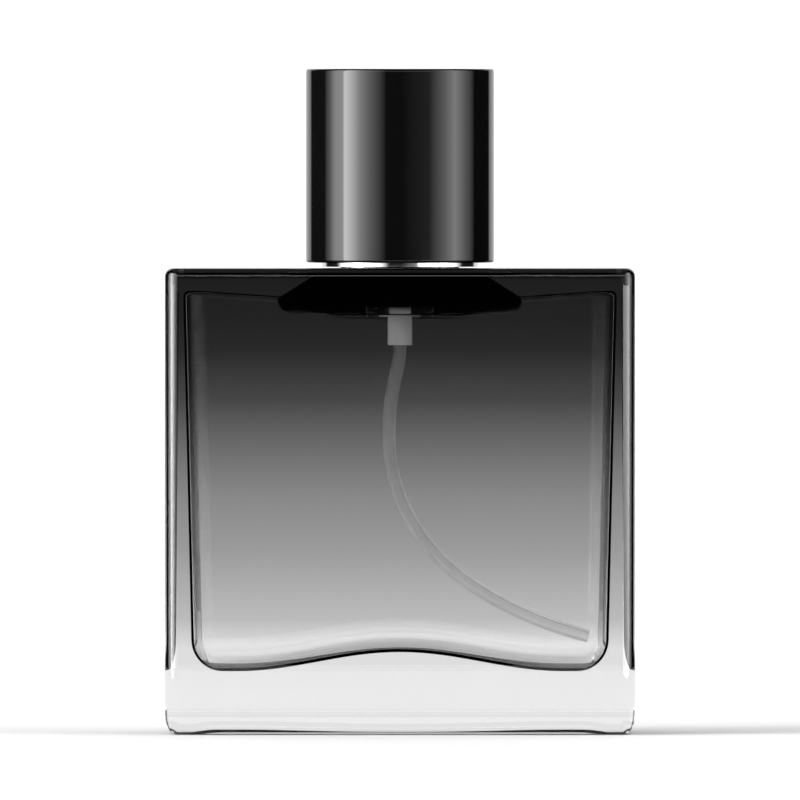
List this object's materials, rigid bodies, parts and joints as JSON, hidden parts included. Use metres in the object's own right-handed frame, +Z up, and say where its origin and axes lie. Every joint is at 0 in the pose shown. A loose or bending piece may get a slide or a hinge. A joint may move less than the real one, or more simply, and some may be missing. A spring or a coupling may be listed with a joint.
{
  "type": "aftershave bottle",
  "caption": "Rectangular glass aftershave bottle with black fade lacquer, crimped spray pump with dip tube, polished collar and pull-off cylindrical cap.",
  "frame": {"origin": "centre of the footprint, on the surface that the base rim stands on", "axes": "+Z up along the neck and cap, +X to the right across the wide front, -Y towards the front (the nozzle's side), +Y towards the back"},
  "size_m": [0.074, 0.036, 0.1048],
  "materials": {
    "lacquered_glass": "clear flint glass, outside sprayed with a black lacquer that fades from solid at the shoulder to clear at the base",
    "cap_gloss_black": "high gloss piano black",
    "liner_black": "satin moulded black",
    "collar_metal": "polished anodised",
    "ferrule_metal": "satin drawn sheet",
    "button_metal": "polished anodised",
    "spring_steel": "drawn stainless wire",
    "pump_plastic": "natural translucent polypropylene",
    "tube_plastic": "clear extruded polyethylene",
    "white_plastic": "moulded white acetal",
    "nozzle_black": "moulded black",
    "seal_rubber": "matte black elastomer"
  },
  "bodies": {
    "bottle": {"glass_bottle": "lacquered_glass", "neck_gasket": "seal_rubber", "crimp_ferrule": "ferrule_metal", "pump_housing": "pump_plastic", "dip_tube": "tube_plastic", "pump_turret": "white_plastic", "stem_seal": "seal_rubber", "pump_spring": "spring_steel", "collar_insert": "liner_black", "collar_shell": "collar_metal"},
    "stem": {"pump_stem": "white_plastic", "pump_piston": "white_plastic"},
    "valve": {"valve_rod": "white_plastic"},
    "actuator": {"actuator_button": "liner_black", "actuator_shell": "button_metal", "nozzle_insert": "nozzle_black"},
    "ball": {"inlet_ball": "spring_steel"},
    "cap": {"cap_shell": "cap_gloss_black", "cap_liner": "liner_black"}
  },
  "joints": [
    {"name": "cap_lift", "type": "slide", "parent": "bottle", "child": "cap", "axis": [0, 0, 1], "range_m": [0, 0.045]},
    {"name": "actuator_press", "type": "slide", "parent": "bottle", "child": "stem", "axis": [0, 0, -1], "range_m": [0, 0.004], "stiffness_N_per_m": 1200, "springref_m": -0.004, "deforming": ["pump_spring"]},
    {"name": "actuator_turn", "type": "hinge", "parent": "stem", "child": "actuator", "pos_m": [0, 0, 0.095], "axis": [0, 0, 1], "continuous": true},
    {"name": "valve_rod_slip", "type": "slide", "parent": "stem", "child": "valve", "axis": [0, 0, -1], "range_m": [0, 0.0003], "stiffness_N_per_m": 1200, "springref_m": -0.001},
    {"name": "inlet_ball_lift", "type": "slide", "parent": "bottle", "child": "ball", "axis": [0, 0, 1], "range_m": [0, 0.0005]}
  ]
}
